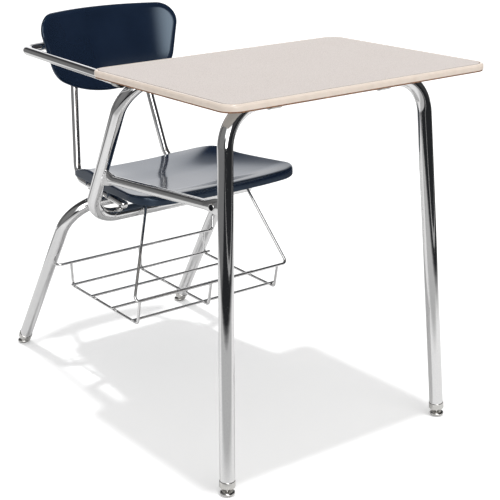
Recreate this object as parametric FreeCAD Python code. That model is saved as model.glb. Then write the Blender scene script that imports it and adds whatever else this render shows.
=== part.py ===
"""Combo school desk: a chair and a writing top on one bent-tube frame, with a book basket under the seat.

Millimetres, +Z up. +X is the sitter's left and -X the sitter's right, where the arm support is. -Y is the
front edge of the writing top and +Y is behind the sitter. The origin is on the floor, in the middle of the
footprint. Below, y is measured from the middle of the writing top, and each piece is moved when it is saved.
"""
import FreeCAD, Part

import math
import os

# Writing top: wood-composite core, top sheet and moulded edge band
top_width = 610.0
top_depth = 457.0
top_height = 752.0
top_thickness = 14.5
top_corner_radius = 32.0
edge_band_width = 7.0
edge_band_round = 5.0
edge_band_lift = 2.5
edge_band_overhang = 1.5
top_sheet_thickness = 1.2
seam_gap = 0.15

# Bent steel tube
leg_tube_radius = 14.3
leg_tube_wall = 1.6
leg_bend_radius = 76.0
arm_top_bend_radius = 80.0
arm_seat_bend_radius = 68.0
rail_tube_radius = 9.5
rail_tube_wall = 1.4
upright_radius = 8.4
upright_wall = 1.4
weld_gap = 0.05

# Front leg frame: floor points of the two legs, and the corners of the run under the top
front_foot_x = 272.0
front_foot_y = -151.0
front_corner_x = 235.0
front_corner_y = -119.0

# Arm support tube: runs under the top, down the sitter's right side and under the seat
arm_x = -235.0
arm_top_y = 207.0
arm_seat_y = 388.7
arm_top_end_x = 190.0
arm_seat_end_x = 185.0

# Rear leg frame
rear_foot_x = 228.8
rear_foot_y = 768.0
rear_corner_x = 216.9
rear_corner_y = 502.5
rear_bend_radius = 80.0
seat_frame_height = 402.0

# Side stretcher between the arm support and the right front leg
stretcher_arm_height = 508.0
stretcher_leg_height = 544.0
stretcher_flat_length = 42.0
stretcher_flat_height = 32.0
stretcher_flat_width = 8.0

# Back rail from the top's rear corner to the right upright
back_rail_side_inset = 43.6
back_rail_front_y = 178.0
back_rail_corner_x = -226.0
back_rail_corner_y = 652.0
back_rail_bend_radius = 38.0

# Uprights, which run on as seat rails
upright_base_x = 123.5
upright_base_y = 633.5
upright_top_x = 76.0
upright_top_y = 702.5
upright_top_z = 771.0
upright_bend_radius = 45.0
seat_rail_front_x = 158.0
seat_rail_front_y = 365.0

# Seat shell
seat_front_y = 216.0
seat_rear_y = 612.0
seat_front_half_width = 214.5
seat_rear_half_width = 157.0
seat_front_corner_radius = 53.0
seat_rear_corner_radius = 60.0
seat_skin = 5.0
seat_rim_round = 9.0
seat_front_centre_rise = 70.0
seat_fore_centre_rise = 61.0
seat_middle_centre_rise = 49.0
seat_rear_centre_rise = 43.0
seat_front_edge_rise = 9.5
seat_fore_edge_rise = 16.0
seat_middle_edge_rise = 26.0
seat_rear_edge_rise = 10.0
seat_hip_centre_rise = 46.0
seat_hip_edge_rise = 32.5
seat_hip_skirt = 29.0
seat_hip_station = 0.72
seat_front_skirt = 19.0
seat_fore_skirt = 17.0
seat_middle_skirt = 24.0
seat_rear_skirt = 9.0
seat_front_station = 0.04
seat_fore_station = 0.18
seat_middle_station = 0.5
seat_rear_station = 0.97
seat_overrun = 0.08
seat_dish_shares = (-1.15, -0.75, -0.4, 0.0, 0.4, 0.75, 1.15)
seat_dish_power = 3
seat_boss_radius = 9.0
seat_boss_front_y = 440.0
seat_boss_rear_y = 560.0

# Backrest shell
back_top_z = 799.0
back_top_crown = 4.0
back_bottom_z = 608.5
back_bottom_radius = 274.0
back_shoulder_half_width = 188.5
back_waist_half_width = 156.0
back_top_corner_radius = 41.0
back_bottom_corner_radius = 62.0
back_hollow_radius = 429.0
back_face_y = 691.0
back_face_z = 768.0
back_lean = 0.19
back_skin = 4.5
back_rim_depth = 10.0
back_rim_wall = 4.0
back_block_reach = 150.0
back_boss_radius = 8.0
back_boss_low_z = 658.0
back_boss_high_z = 748.0

# Screws and straps
screw_radius = 2.1
screw_head_radius = 4.2
screw_head_height = 2.6
screw_grip = 10.0
screw_clearance = 0.05
back_screw_grip = 5.5
strap_width = 24.0
strap_thickness = 2.0
strap_flange = 15.0
front_strap_x = 130.0
arm_strap_x = 120.0
rail_clip_y = 192.0

# Book basket wires
rail_wire_radius = 3.175
long_wire_radius = 3.0
basket_bend_radius = 9.0
basket_floor_rear_z = 194.0
basket_floor_front_z = 187.0
basket_rear_lean = 4.0
basket_rear_y = 566.0
basket_rear_z = 249.0
basket_rear_right_x = -222.0
basket_rear_left_x = 204.0
basket_end_rise = 34.0
basket_end_back = 5.0
basket_end_spread = 5.0
basket_end_reach = 30.0
basket_front_y = 271.0
basket_front_z = 241.0
basket_front_lean = 12.0
basket_front_half_width = 203.0
hanger_right_x = -97.0
hanger_left_x = 162.0
hanger_overlap = 5.0
cross_wire_x = (-190.0, -7.0, 176.0)
long_wire_y = (553.5, 466.0, 378.0, 292.0)
long_wire_end = 9.0

# Swivel glides
ball_height = 7.2
ball_radius = 5.0
neck_radius = 2.4
ball_clearance = 0.08
ferrule_height = 16.2
ferrule_wall = 1.1
ferrule_floor = 2.5
ferrule_length = 10.5
ferrule_fit = 0.05
rivet_head_radius = 4.6
rivet_head_height = 2.0
socket_radius = 8.2
socket_lip = 1.5
socket_fit = 0.1
base_radius = 14.75
base_foot_radius = 9.0
base_belly_height = 5.5
base_shoulder_radius = 10.4
base_height = 10.2
base_floor = 1.4
base_mouth_radius = 7.6

underside_z = top_height - top_thickness
leg_run_z = underside_z - leg_tube_radius
back_rail_z = underside_z - rail_tube_radius
seat_rail_z = seat_frame_height + leg_tube_radius + upright_radius + weld_gap
seat_front_centre_z = seat_frame_height + seat_front_centre_rise
seat_fore_centre_z = seat_frame_height + seat_fore_centre_rise
seat_middle_centre_z = seat_frame_height + seat_middle_centre_rise
seat_hip_centre_z = seat_frame_height + seat_hip_centre_rise
seat_rear_centre_z = seat_frame_height + seat_rear_centre_rise
back_rail_front_x = back_rail_side_inset - top_width / 2
UP = FreeCAD.Vector(0, 0, 1)
BACKWARD = FreeCAD.Vector(0, 1, 0)
ALONG_SHARE = 0.5
FULL_TURN = 360.0


def point(x, y, z):
    return FreeCAD.Vector(x, y, z)


def along(start, end, share):
    return start + (end - start) * share


def at_height(start, end, z):
    """The point of the line from start to end that lies at height z."""
    return along(start, end, (z - start.z) / (end.z - start.z))


# Bent tube and wire

def bent_path(corners, bend_radii):
    """Straight runs between the corners, with a tangent arc at each inner corner."""
    edges = []
    start = corners[0]
    for before, corner, after, bend_radius in zip(corners, corners[1:], corners[2:], bend_radii):
        back = (before - corner).normalize()
        ahead = (after - corner).normalize()
        half_angle = back.getAngle(ahead) / 2
        run_in = bend_radius / math.tan(half_angle)
        inward = (back + ahead).normalize()
        arc_start = corner + back * run_in
        arc_end = corner + ahead * run_in
        arc_middle = corner + inward * (bend_radius / math.sin(half_angle) - bend_radius)
        edges.append(Part.LineSegment(start, arc_start).toShape())
        edges.append(Part.Arc(arc_start, arc_middle, arc_end).toShape())
        start = arc_end
    edges.append(Part.LineSegment(start, corners[-1]).toShape())
    return Part.Wire(edges)


def rod(corners, bend_radii, radius):
    """A solid round bar along the bent path."""
    section = Part.Wire(Part.makeCircle(radius, corners[0], corners[1] - corners[0]))
    return bent_path(corners, bend_radii).makePipeShell([section], True, False)


def tube(corners, bend_radii, radius, wall):
    return rod(corners, bend_radii, radius).cut(rod(corners, bend_radii, radius - wall))


def pin(start, end, radius):
    return Part.makeCylinder(radius, (end - start).Length, start, end - start)


# Tube routes: the corner points of each bent tube

def leg_end(floor_point, corner):
    """Where a leg's tube stops, on the floor of its ferrule."""
    return at_height(floor_point, corner, ferrule_height + ferrule_floor)


def front_leg_route():
    right_floor = point(-front_foot_x, front_foot_y, 0)
    right_corner = point(-front_corner_x, front_corner_y, leg_run_z)
    left_floor = point(front_foot_x, front_foot_y, 0)
    left_corner = point(front_corner_x, front_corner_y, leg_run_z)
    return [
        leg_end(right_floor, right_corner),
        right_corner,
        left_corner,
        leg_end(left_floor, left_corner),
    ]


def rear_leg_route():
    right_floor = point(-rear_foot_x, rear_foot_y, 0)
    right_corner = point(-rear_corner_x, rear_corner_y, seat_frame_height)
    left_floor = point(rear_foot_x, rear_foot_y, 0)
    left_corner = point(rear_corner_x, rear_corner_y, seat_frame_height)
    return [
        leg_end(right_floor, right_corner),
        right_corner,
        left_corner,
        leg_end(left_floor, left_corner),
    ]


def arm_route():
    return [
        point(arm_top_end_x, arm_top_y, leg_run_z),
        point(arm_x, arm_top_y, leg_run_z),
        point(arm_x, arm_seat_y, seat_frame_height),
        point(arm_seat_end_x, arm_seat_y, seat_frame_height),
    ]


def upright_route(side):
    """Side is -1 on the sitter's right and 1 on the left."""
    return [
        point(side * upright_top_x, upright_top_y, upright_top_z),
        point(side * upright_base_x, upright_base_y, seat_rail_z),
        point(side * seat_rail_front_x, seat_rail_front_y, seat_rail_z),
    ]


def back_rail_route():
    right_upright = upright_route(-1)
    return [
        point(back_rail_front_x, back_rail_front_y, back_rail_z),
        point(back_rail_corner_x, back_rail_corner_y, back_rail_z),
        at_height(right_upright[1], right_upright[0], back_rail_z),
    ]


def arm_bends():
    return [arm_top_bend_radius, arm_seat_bend_radius]


def arm_support():
    return tube(arm_route(), arm_bends(), leg_tube_radius, leg_tube_wall)


def arm_outside():
    return rod(arm_route(), arm_bends(), leg_tube_radius + weld_gap)


def front_legs_outside():
    return rod(front_leg_route(), [leg_bend_radius] * 2, leg_tube_radius + weld_gap)


def rear_legs_outside():
    return rod(rear_leg_route(), [rear_bend_radius] * 2, leg_tube_radius + weld_gap)


def upright_outside(side):
    return rod(upright_route(side), [upright_bend_radius], upright_radius + weld_gap)


# Writing top

def rounded_slab(inset, low, high):
    """A slab of the top's outline, drawn in all round by the inset."""
    width = top_width - 2 * inset
    depth = top_depth - 2 * inset
    slab = Part.makeBox(width, depth, high - low, point(-width / 2, -depth / 2, low))
    uprights = [edge for edge in slab.Edges if abs(edge.tangentAt(edge.FirstParameter).z) > ALONG_SHARE]
    return slab.makeFillet(top_corner_radius - inset, uprights)


def outer_rim_edges(slab, z):
    level = [edge for edge in slab.Edges if edge.BoundBox.ZLength < seam_gap]
    return [edge for edge in level if abs(edge.BoundBox.ZMin - z) < seam_gap]


def edge_band():
    low = underside_z + edge_band_lift
    outside = rounded_slab(0, low, top_height)
    outside = outside.makeFillet(edge_band_round, outer_rim_edges(outside, top_height))
    return outside.cut(rounded_slab(edge_band_width, low, top_height))


def top_sheet():
    return rounded_slab(edge_band_width + seam_gap, top_height - top_sheet_thickness, top_height)


def top_core():
    upper = rounded_slab(edge_band_width + seam_gap, underside_z, top_height - top_sheet_thickness)
    lip = rounded_slab(edge_band_overhang, underside_z, underside_z + edge_band_lift)
    core = upper.fuse(lip).removeSplitter()
    for strap in straps():
        for hole in strap["screws"]:
            core = core.cut(pin(hole, hole + UP * screw_grip, screw_radius + screw_clearance))
    return core


# Straps that hold the tubes to the underside of the top

def strap(centre, direction, tube_radius):
    """A steel strap round a tube at the underside, with a screw flange on each side."""
    inner = tube_radius + weld_gap
    outer = inner + strap_thickness
    reach = outer + strap_flange
    rise = underside_z - centre.z
    start = centre - direction * (strap_width / 2)
    across = UP.cross(direction)
    ring = Part.makeCylinder(outer, strap_width, start, direction)
    cheeks = Part.makeBox(strap_width, 2 * outer, rise, point(0, -outer, 0))
    flanges = Part.makeBox(strap_width, 2 * reach, strap_thickness, point(0, -reach, rise - strap_thickness))
    hollow = Part.makeBox(strap_width, 2 * inner, outer, point(0, -inner, 0))
    turn = FreeCAD.Rotation(point(1, 0, 0), direction)
    for block in (cheeks, flanges, hollow):
        block.Placement = FreeCAD.Placement(start, turn)
    body = ring.fuse(cheeks).fuse(flanges).cut(hollow)
    body = body.cut(Part.makeCylinder(inner, strap_width, start, direction)).removeSplitter()
    holes = []
    for side in (-1, 1):
        foot = centre + across * (side * (outer + strap_flange / 2)) + UP * rise
        body = body.cut(pin(foot - UP * strap_thickness, foot, screw_radius + screw_clearance))
        holes.append(foot)
    return {"body": body, "screws": holes}


def straps():
    """The straps in order: front right, front left, arm right, arm left, back rail clip."""
    across = point(1, 0, 0)
    rail = back_rail_route()
    rail_run = rail[1] - rail[0]
    rail_point = along(rail[0], rail[1], (rail_clip_y - rail[0].y) / rail_run.y)
    return [
        strap(point(-front_strap_x, front_corner_y, leg_run_z), across, leg_tube_radius),
        strap(point(front_strap_x, front_corner_y, leg_run_z), across, leg_tube_radius),
        strap(point(-arm_strap_x, arm_top_y, leg_run_z), across, leg_tube_radius),
        strap(point(arm_strap_x, arm_top_y, leg_run_z), across, leg_tube_radius),
        strap(rail_point, rail_run.normalize(), rail_tube_radius),
    ]


def pan_screw(seat, direction, grip):
    """A pan-head screw whose head lies below the seat point; the shank runs on along the direction."""
    under = seat - direction * screw_head_height
    head = Part.makeCylinder(screw_head_radius, screw_head_height, under, direction)
    return head.fuse(pin(seat, seat + direction * grip, screw_radius)).removeSplitter()


def top_screws():
    screws = []
    for held in straps():
        for hole in held["screws"]:
            screws.append(pan_screw(hole - UP * strap_thickness, UP, strap_thickness + screw_grip))
    return Part.makeCompound(screws)


# Side stretcher and back rail

def oval(centre, direction, half_width, half_height):
    """An upright oval across a level direction."""
    flat = half_width < half_height
    sideways = UP.cross(direction)
    major = UP if flat else sideways
    ellipse = Part.Ellipse(
        centre + major * max(half_width, half_height),
        centre + (sideways if flat else UP) * min(half_width, half_height),
        centre,
    )
    return Part.Wire(ellipse.toShape())


def round_end(centre, direction, radius):
    return Part.Wire(Part.makeCircle(radius, centre, direction))


def stretcher_body(start, end, inset):
    """A round tube between two points, pressed to a tall oval over a short length at each end."""
    direction = (end - start).normalize()
    low = stretcher_flat_width / 2 - inset
    tall = stretcher_flat_height / 2 - inset
    round_radius = rail_tube_radius - inset
    near = start + direction * stretcher_flat_length
    far = end - direction * stretcher_flat_length
    middle = pin(near, far, round_radius)
    first_ends = [oval(start, direction, low, tall), round_end(near, direction, round_radius)]
    last_ends = [round_end(far, direction, round_radius), oval(end, direction, low, tall)]
    first = Part.makeLoft(first_ends, True, True)
    last = Part.makeLoft(last_ends, True, True)
    return first.fuse(middle).fuse(last).removeSplitter()


def side_stretcher():
    arm = arm_route()
    leg = front_leg_route()
    start = at_height(arm[1], arm[2], stretcher_arm_height)
    end = at_height(leg[0], leg[1], stretcher_leg_height)
    body = stretcher_body(start, end, 0).cut(stretcher_body(start, end, rail_tube_wall))
    body = body.cut(arm_outside()).cut(front_legs_outside())
    return max(body.Solids, key=lambda solid: solid.Volume)


def back_rail():
    route = back_rail_route()
    body = tube(route, [back_rail_bend_radius], rail_tube_radius, rail_tube_wall)
    return max(body.cut(upright_outside(-1)).Solids, key=lambda solid: solid.Volume)


# Seat shell

def seat_stations():
    """Along the seat: y, height of the middle, rise to the side edge, depth of the skirt."""
    length = seat_rear_y - seat_front_y
    front = (seat_front_centre_z, seat_front_edge_rise, seat_front_skirt)
    fore = (seat_fore_centre_z, seat_fore_edge_rise, seat_fore_skirt)
    middle = (seat_middle_centre_z, seat_middle_edge_rise, seat_middle_skirt)
    hip = (seat_hip_centre_z, seat_hip_edge_rise, seat_hip_skirt)
    rear = (seat_rear_centre_z, seat_rear_edge_rise, seat_rear_skirt)
    return [
        (seat_front_y - length * seat_overrun, *front),
        (seat_front_y + length * seat_front_station, *front),
        (seat_front_y + length * seat_fore_station, *fore),
        (seat_front_y + length * seat_middle_station, *middle),
        (seat_front_y + length * seat_hip_station, *hip),
        (seat_front_y + length * seat_rear_station, *rear),
        (seat_rear_y + length * seat_overrun, *rear),
    ]


def seat_half_width(y):
    share = (y - seat_front_y) / (seat_rear_y - seat_front_y)
    return seat_front_half_width + (seat_rear_half_width - seat_front_half_width) * share


def seat_block(lowered, floor):
    """All that lies under the dished seat, which is lowered by a set depth or, if None, by the skirt."""
    sections = []
    for y, middle, rise, skirt in seat_stations():
        drop = skirt if lowered is None else lowered
        half_width = seat_half_width(y)
        crest = []
        for share in seat_dish_shares:
            dish = rise * abs(share) ** seat_dish_power
            crest.append(point(share * half_width, y, middle + dish - drop))
        curve = Part.BSplineCurve()
        curve.interpolate(crest)
        left_foot = point(crest[-1].x, y, floor)
        right_foot = point(crest[0].x, y, floor)
        sections.append(Part.Wire([
            curve.toShape(),
            Part.LineSegment(crest[-1], left_foot).toShape(),
            Part.LineSegment(left_foot, right_foot).toShape(),
            Part.LineSegment(right_foot, crest[0]).toShape(),
        ]))
    return Part.makeLoft(sections, True, False)


def upright_edge(edge, direction):
    return abs(edge.tangentAt(edge.FirstParameter).dot(direction)) > ALONG_SHARE


def upright_edges(prism, direction):
    """The straight edges of a prism that run along its direction."""
    return [edge for edge in prism.Edges if upright_edge(edge, direction)]


def drawn_in(prism, direction, inset, length):
    """The same prism with its outline drawn in all round by the inset."""
    ends = [face for face in prism.Faces if abs(face.normalAt(0, 0).dot(direction)) > ALONG_SHARE]
    start = min(ends, key=lambda face: face.CenterOfMass.dot(direction))
    return start.makeOffset2D(-inset).extrude(direction * length)


def seat_prism(low, high):
    """An upright prism of the seat's outline."""
    outline = Part.makePolygon([
        point(-seat_front_half_width, seat_front_y, low),
        point(seat_front_half_width, seat_front_y, low),
        point(seat_rear_half_width, seat_rear_y, low),
        point(-seat_rear_half_width, seat_rear_y, low),
        point(-seat_front_half_width, seat_front_y, low),
    ])
    prism = Part.Face(outline).extrude(UP * (high - low))
    middle_y = (seat_front_y + seat_rear_y) / 2
    front = [edge for edge in upright_edges(prism, UP) if edge.CenterOfMass.y < middle_y]
    prism = prism.makeFillet(seat_front_corner_radius, front)
    rear = [edge for edge in upright_edges(prism, UP) if edge.CenterOfMass.y > middle_y]
    return prism.makeFillet(seat_rear_corner_radius, rear)


def seat_boss_points():
    """Where the bosses stand, over the middle line of the seat rails."""
    spots = []
    for side in (-1, 1):
        base, front = upright_route(side)[1:]
        for y in (seat_boss_front_y, seat_boss_rear_y):
            spots.append(along(base, front, (y - base.y) / (front.y - base.y)))
    return spots


def seat_shell():
    low = seat_frame_height
    high = seat_front_centre_z + seat_front_skirt + seat_middle_edge_rise
    prism = seat_prism(low, high)
    hollow = drawn_in(prism, UP, seat_skin, high - low).common(seat_block(seat_skin, low))
    solid = prism.common(seat_block(0, low))
    raised = [edge for edge in solid.Edges if edge.BoundBox.ZMin > low + seat_skin]
    rim = [edge for edge in raised if not upright_edge(edge, UP)]
    solid = solid.makeFillet(seat_rim_round, rim)
    shell = solid.cut(seat_block(None, low)).cut(hollow)
    for spot in seat_boss_points():
        boss = pin(spot, point(spot.x, spot.y, high), seat_boss_radius)
        shell = shell.fuse(boss.common(seat_block(seat_skin / 2, low)))
    for side in (-1, 1):
        shell = shell.cut(upright_outside(side))
    for spot in seat_boss_points():
        reach = spot + UP * (upright_radius + screw_grip)
        shell = shell.cut(pin(spot, reach, screw_radius + screw_clearance))
    return shell


def seat_screws():
    grip = screw_grip - screw_clearance
    screws = [rail_screw(spot, UP, math.copysign(1, spot.x), grip) for spot in seat_boss_points()]
    return Part.makeCompound(screws)


# Backrest shell

def back_wall(front_depth, rear_depth):
    """A leaning round wall behind the sitter, between two depths behind the backrest's front face."""
    lean = point(0, back_lean, 1).normalize()
    square = lean.cross(point(1, 0, 0)).normalize()
    length = 2 * back_hollow_radius
    start = point(0, back_face_y, back_face_z) - square * back_hollow_radius - lean * (length / 2)
    outside = Part.makeCylinder(back_hollow_radius + rear_depth, length, start, lean)
    return outside.cut(Part.makeCylinder(back_hollow_radius + front_depth, length, start, lean))


def back_prism():
    """A prism, from front to rear, of the backrest's outline as seen from the front."""
    front = back_face_y - back_block_reach
    waist_z = back_bottom_z + back_bottom_radius - math.sqrt(back_bottom_radius**2 - back_waist_half_width**2)
    shoulder_z = back_top_z - back_top_crown
    waist = [point(side * back_waist_half_width, front, waist_z) for side in (-1, 1)]
    shoulder = [point(side * back_shoulder_half_width, front, shoulder_z) for side in (-1, 1)]
    outline = Part.Wire([
        Part.Arc(waist[0], point(0, front, back_bottom_z), waist[1]).toShape(),
        Part.LineSegment(waist[1], shoulder[1]).toShape(),
        Part.Arc(shoulder[1], point(0, front, back_top_z), shoulder[0]).toShape(),
        Part.LineSegment(shoulder[0], waist[0]).toShape(),
    ])
    prism = Part.Face(outline).extrude(BACKWARD * (2 * back_block_reach))
    middle_z = (back_top_z + back_bottom_z) / 2
    upper = [edge for edge in upright_edges(prism, BACKWARD) if edge.CenterOfMass.z > middle_z]
    prism = prism.makeFillet(back_top_corner_radius, upper)
    lower = [edge for edge in upright_edges(prism, BACKWARD) if edge.CenterOfMass.z < waist_z + seam_gap]
    return prism.makeFillet(back_bottom_corner_radius, lower)


def back_boss_points(side):
    """Where the backrest's bosses meet the middle line of an upright."""
    top, base = upright_route(side)[:2]
    return [at_height(base, top, z) for z in (back_boss_low_z, back_boss_high_z)]


def backrest_shell():
    prism = back_prism()
    pocket = drawn_in(prism, BACKWARD, back_rim_wall, 2 * back_block_reach)
    shell = prism.common(back_wall(0, back_rim_depth))
    shell = shell.cut(pocket.common(back_wall(back_skin, 2 * back_rim_depth)))
    for side in (-1, 1):
        for spot in back_boss_points(side):
            boss = pin(spot - BACKWARD * back_block_reach, spot, back_boss_radius)
            shell = shell.fuse(boss.common(back_wall(back_skin / 2, back_block_reach)))
        shell = shell.cut(upright_outside(side))
        for spot in back_boss_points(side):
            reach = spot - BACKWARD * (upright_radius + back_screw_grip)
            shell = shell.cut(pin(reach, spot, screw_radius + screw_clearance))
    return shell


def back_screws():
    screws = []
    for side in (-1, 1):
        for spot in back_boss_points(side):
            screws.append(rail_screw(spot, -BACKWARD, side, back_screw_grip - screw_clearance))
    return Part.makeCompound(screws)


# Uprights and the screws through them

def rail_screw(axis_point, direction, side, grip):
    """A pan-head screw through an upright or its seat rail; the head's face follows the round of the tube."""
    under = axis_point - direction * (upright_radius + screw_head_height)
    head = pin(under, axis_point, screw_head_radius).cut(upright_outside(side))
    tip = axis_point + direction * (upright_radius + grip)
    return head.fuse(pin(under, tip, screw_radius)).removeSplitter()


def upright(side):
    body = tube(upright_route(side), [upright_bend_radius], upright_radius, upright_wall)
    across = 2 * upright_radius
    for spot in seat_boss_points():
        body = body.cut(pin(spot - UP * across, spot + UP * across, screw_radius + screw_clearance))
    for spot in back_boss_points(side):
        hole = pin(spot - BACKWARD * across, spot + BACKWARD * across, screw_radius + screw_clearance)
        body = body.cut(hole)
    return body


# Book basket

def hanger_top(x):
    """The top end of a hanger, which lies against the front of the arm support's run under the seat."""
    back = arm_seat_y - basket_front_y
    rise = seat_frame_height - basket_front_z
    span = math.hypot(back, rise)
    stand_off = leg_tube_radius + rail_wire_radius + weld_gap
    slope = math.atan2(rise, back) + math.asin(stand_off / span)
    length = math.sqrt(span**2 - stand_off**2) + hanger_overlap
    return point(x, basket_front_y + length * math.cos(slope), basket_front_z + length * math.sin(slope))


def basket_front_frame():
    return rod([
        hanger_top(hanger_right_x),
        point(-basket_front_half_width, basket_front_y, basket_front_z),
        point(basket_front_half_width, basket_front_y, basket_front_z),
        hanger_top(hanger_left_x),
    ], [basket_bend_radius] * 2, rail_wire_radius)


def basket_rear_rail():
    """A straight wire welded to the rear legs: its right end is turned back and its left end turned up."""
    right = point(basket_rear_right_x, basket_rear_y, basket_rear_z)
    left = point(basket_rear_left_x, basket_rear_y, basket_rear_z)
    body = rod([
        right + BACKWARD * basket_end_reach,
        right,
        left,
        left + point(basket_end_spread, basket_end_back, basket_end_rise),
    ], [basket_bend_radius] * 2, rail_wire_radius)
    return max(body.cut(rear_legs_outside()).Solids, key=lambda solid: solid.Volume)


def basket_floor(y):
    """Height of the floor runs of the cross wires, which fall a little toward the front."""
    front = basket_front_y + basket_front_lean
    rear = basket_rear_y - basket_rear_lean
    return basket_floor_front_z + (basket_floor_rear_z - basket_floor_front_z) * (y - front) / (rear - front)


def cross_wire(x):
    """Down from under the rear rail, forward along the floor and up to the underside of the front rail."""
    front_y = basket_front_y + basket_front_lean
    rear_y = basket_rear_y - basket_rear_lean
    body = rod([
        point(x, basket_rear_y, basket_rear_z),
        point(x, rear_y, basket_floor(rear_y)),
        point(x, front_y, basket_floor(front_y)),
        point(x, basket_front_y, basket_front_z),
    ], [basket_bend_radius] * 2, rail_wire_radius)
    for y, z in ((basket_rear_y, basket_rear_z), (basket_front_y, basket_front_z)):
        start = point(x - strap_width, y, z)
        body = body.cut(pin(start, point(x + strap_width, y, z), rail_wire_radius + weld_gap))
    return max(body.Solids, key=lambda solid: solid.Volume)


def long_wire(y):
    """A straight wire across the basket, on top of the floor runs of the cross wires."""
    z = basket_floor(y) + rail_wire_radius + long_wire_radius + weld_gap
    start = point(min(cross_wire_x) - long_wire_end, y, z)
    end = point(max(cross_wire_x) + long_wire_end, y, z)
    return pin(start, end, long_wire_radius)


# Swivel glides

def glide(floor_point, corner):
    """The ferrule on a leg's end, its ball stud, and the socket and base that swivel on the ball."""
    ball = at_height(floor_point, corner, ball_height)
    tube_end = leg_end(floor_point, corner)
    axis = (corner - floor_point).normalize()
    cup_floor = tube_end - axis * ferrule_floor
    cup_radius = leg_tube_radius + ferrule_fit
    cup_length = ferrule_floor + ferrule_length
    ferrule = Part.makeCylinder(cup_radius + ferrule_wall, cup_length, cup_floor, axis)
    ferrule = ferrule.cut(Part.makeCylinder(cup_radius, ferrule_length, tube_end, axis))
    ferrule = ferrule.cut(Part.makeCylinder(neck_radius + ferrule_fit, ferrule_floor, cup_floor, axis))
    stud = pin(ball, tube_end, neck_radius).fuse(Part.makeSphere(ball_radius, ball))
    stud = stud.fuse(Part.makeCylinder(rivet_head_radius, rivet_head_height, tube_end, axis)).removeSplitter()
    foot = point(ball.x, ball.y, 0)
    return {"ferrule": ferrule, "stud": stud, "socket": glide_socket(foot), "base": glide_base(foot)}


def glide_socket(foot):
    """Nylon insert that holds the ball; its lip stands above the ball's widest part."""
    low = base_floor + ball_clearance
    high = ball_height + socket_lip
    body = Part.makeCylinder(socket_radius, high - low, foot + UP * low, UP)
    return body.cut(Part.makeSphere(ball_radius + ball_clearance, foot + UP * ball_height))


def glide_base(foot):
    """Pressed steel base: flat foot, rounded belly, and an in-turned mouth that keeps the socket in."""
    belly = Part.Arc(
        point(base_foot_radius, 0, 0),
        point(base_radius, 0, base_belly_height),
        point(base_shoulder_radius, 0, base_height),
    )
    outline = Part.Wire([
        Part.LineSegment(point(0, 0, 0), point(base_foot_radius, 0, 0)).toShape(),
        belly.toShape(),
        Part.LineSegment(point(base_shoulder_radius, 0, base_height), point(0, 0, base_height)).toShape(),
        Part.LineSegment(point(0, 0, base_height), point(0, 0, 0)).toShape(),
    ])
    body = Part.Face(outline).revolve(point(0, 0, 0), UP, FULL_TURN)
    body.translate(foot)
    shelf = ball_height + socket_lip + ball_clearance
    seat = Part.makeCylinder(socket_radius + socket_fit, shelf - base_floor, foot + UP * base_floor, UP)
    mouth = Part.makeCylinder(base_mouth_radius, base_height, foot + UP * base_floor, UP)
    return body.cut(seat).cut(mouth)


def glides():
    feet = {}
    for side, name in ((-1, "right"), (1, "left")):
        feet["front_" + name] = glide(
            point(side * front_foot_x, front_foot_y, 0),
            point(side * front_corner_x, front_corner_y, leg_run_z),
        )
        feet["rear_" + name] = glide(
            point(side * rear_foot_x, rear_foot_y, 0),
            point(side * rear_corner_x, rear_corner_y, seat_frame_height),
        )
    return feet


# Assembly

def pieces():
    strap_names = (
        "front_strap_right", "front_strap_left", "arm_strap_right", "arm_strap_left", "back_rail_clip",
    )
    cross_names = ("basket_cross_wire_right", "basket_cross_wire_middle", "basket_cross_wire_left")
    long_names = ("basket_long_wire_rear", "basket_long_wire_mid_rear", "basket_long_wire_mid_front",
                  "basket_long_wire_front")
    found = {
        "desktop_sheet": top_sheet(),
        "desktop_edge_band": edge_band(),
        "desktop_core": top_core(),
        "desktop_screws": top_screws(),
        "front_leg_frame": tube(front_leg_route(), [leg_bend_radius] * 2, leg_tube_radius, leg_tube_wall),
        "rear_leg_frame": tube(rear_leg_route(), [rear_bend_radius] * 2, leg_tube_radius, leg_tube_wall),
        "arm_support_tube": arm_support(),
        "side_stretcher": side_stretcher(),
        "back_rail": back_rail(),
        "upright_right": upright(-1),
        "upright_left": upright(1),
        "seat_shell": seat_shell(),
        "seat_screws": seat_screws(),
        "backrest_shell": backrest_shell(),
        "back_screws": back_screws(),
        "basket_front_frame": basket_front_frame(),
        "basket_rear_rail": basket_rear_rail(),
    }
    for name, held in zip(strap_names, straps()):
        found[name] = held["body"]
    for name, x in zip(cross_names, cross_wire_x):
        found[name] = cross_wire(x)
    for name, y in zip(long_names, long_wire_y):
        found[name] = long_wire(y)
    for place, foot in glides().items():
        for name, shape in foot.items():
            found[place + "_" + name] = shape
    return found


def footprint_middle_y():
    """The middle of the depth, between the top's front edge and the rear of the rear glides."""
    rear_floor = point(rear_foot_x, rear_foot_y, 0)
    rear_corner = point(rear_corner_x, rear_corner_y, seat_frame_height)
    rear = at_height(rear_floor, rear_corner, ball_height).y + base_radius
    return (rear - top_depth / 2) / 2


os.makedirs("parts", exist_ok=True)
for node, shape in pieces().items():
    shape.translate(point(0, -footprint_middle_y(), 0))
    shape.exportStep("parts/" + node + ".step")
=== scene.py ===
"""Looks of a combo school desk: chromed tube frame, moulded shells, edged writing top, wire basket."""

import math

import bmesh
import bpy
from mathutils import Matrix, Vector


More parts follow.
